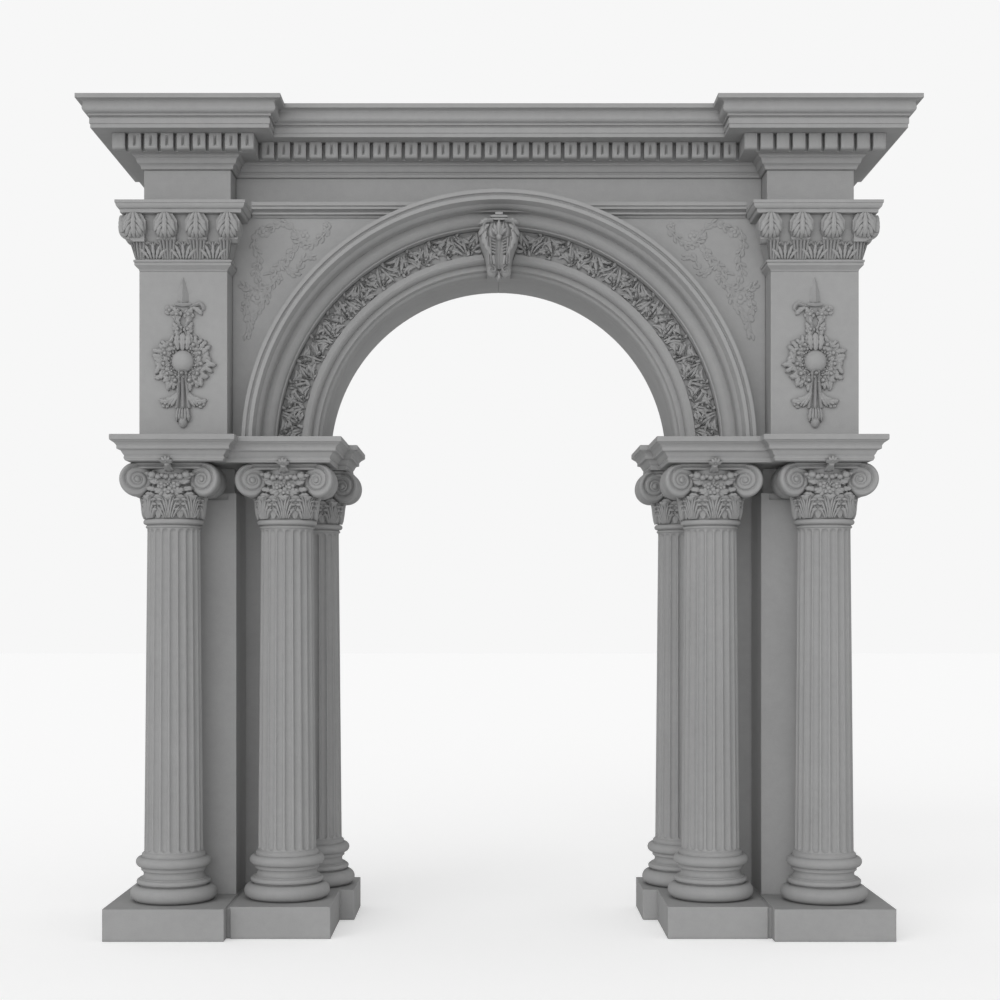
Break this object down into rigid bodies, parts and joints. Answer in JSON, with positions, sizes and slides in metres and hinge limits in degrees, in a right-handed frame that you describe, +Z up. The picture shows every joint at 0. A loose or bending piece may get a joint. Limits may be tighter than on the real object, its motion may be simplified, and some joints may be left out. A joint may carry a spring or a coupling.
{
  "type": "arched portal on fluted columns",
  "caption": "Classical portal: a round arch on paired fluted columns with composite capitals, between square piers under a broken entablature with dentils.",
  "frame": {"origin": "on the ground, at the bottom centre of the bounding box", "axes": "+Z up, -Y the front with the keystone, +X to the right when seen from the front"},
  "size_m": [4.238, 1.238, 4.24],
  "materials": {
    "carved_stone": "matt, finely rubbed, one even grey"
  },
  "bodies": {
    "root": {"left_plinths": "carved_stone", "right_plinths": "carved_stone", "left_outer_base": "carved_stone", "right_outer_base": "carved_stone", "left_inner_base": "carved_stone", "right_inner_base": "carved_stone", "left_jamb_base": "carved_stone", "right_jamb_base": "carved_stone", "left_outer_shaft": "carved_stone", "right_outer_shaft": "carved_stone", "left_inner_shaft": "carved_stone", "right_inner_shaft": "carved_stone", "left_jamb_shaft": "carved_stone", "right_jamb_shaft": "carved_stone", "left_outer_capital": "carved_stone", "right_outer_capital": "carved_stone", "left_inner_capital": "carved_stone", "right_inner_capital": "carved_stone", "left_jamb_capital": "carved_stone", "right_jamb_capital": "carved_stone", "left_lower_pier": "carved_stone", "right_lower_pier": "carved_stone", "left_recess_wall": "carved_stone", "right_recess_wall": "carved_stone", "left_impost": "carved_stone", "right_impost": "carved_stone", "left_arch_wall": "carved_stone", "right_arch_wall": "carved_stone", "left_upper_pier": "carved_stone", "right_upper_pier": "carved_stone", "left_pier_capital": "carved_stone", "right_pier_capital": "carved_stone", "left_drop_ornament": "carved_stone", "right_drop_ornament": "carved_stone", "left_string_course": "carved_stone", "right_string_course": "carved_stone", "left_frieze": "carved_stone", "right_frieze": "carved_stone", "centre_frieze": "carved_stone", "left_cornice": "carved_stone", "right_cornice": "carved_stone", "centre_cornice": "carved_stone", "archivolt": "carved_stone", "keystone": "carved_stone", "dentils": "carved_stone"}
  },
  "joints": []
}
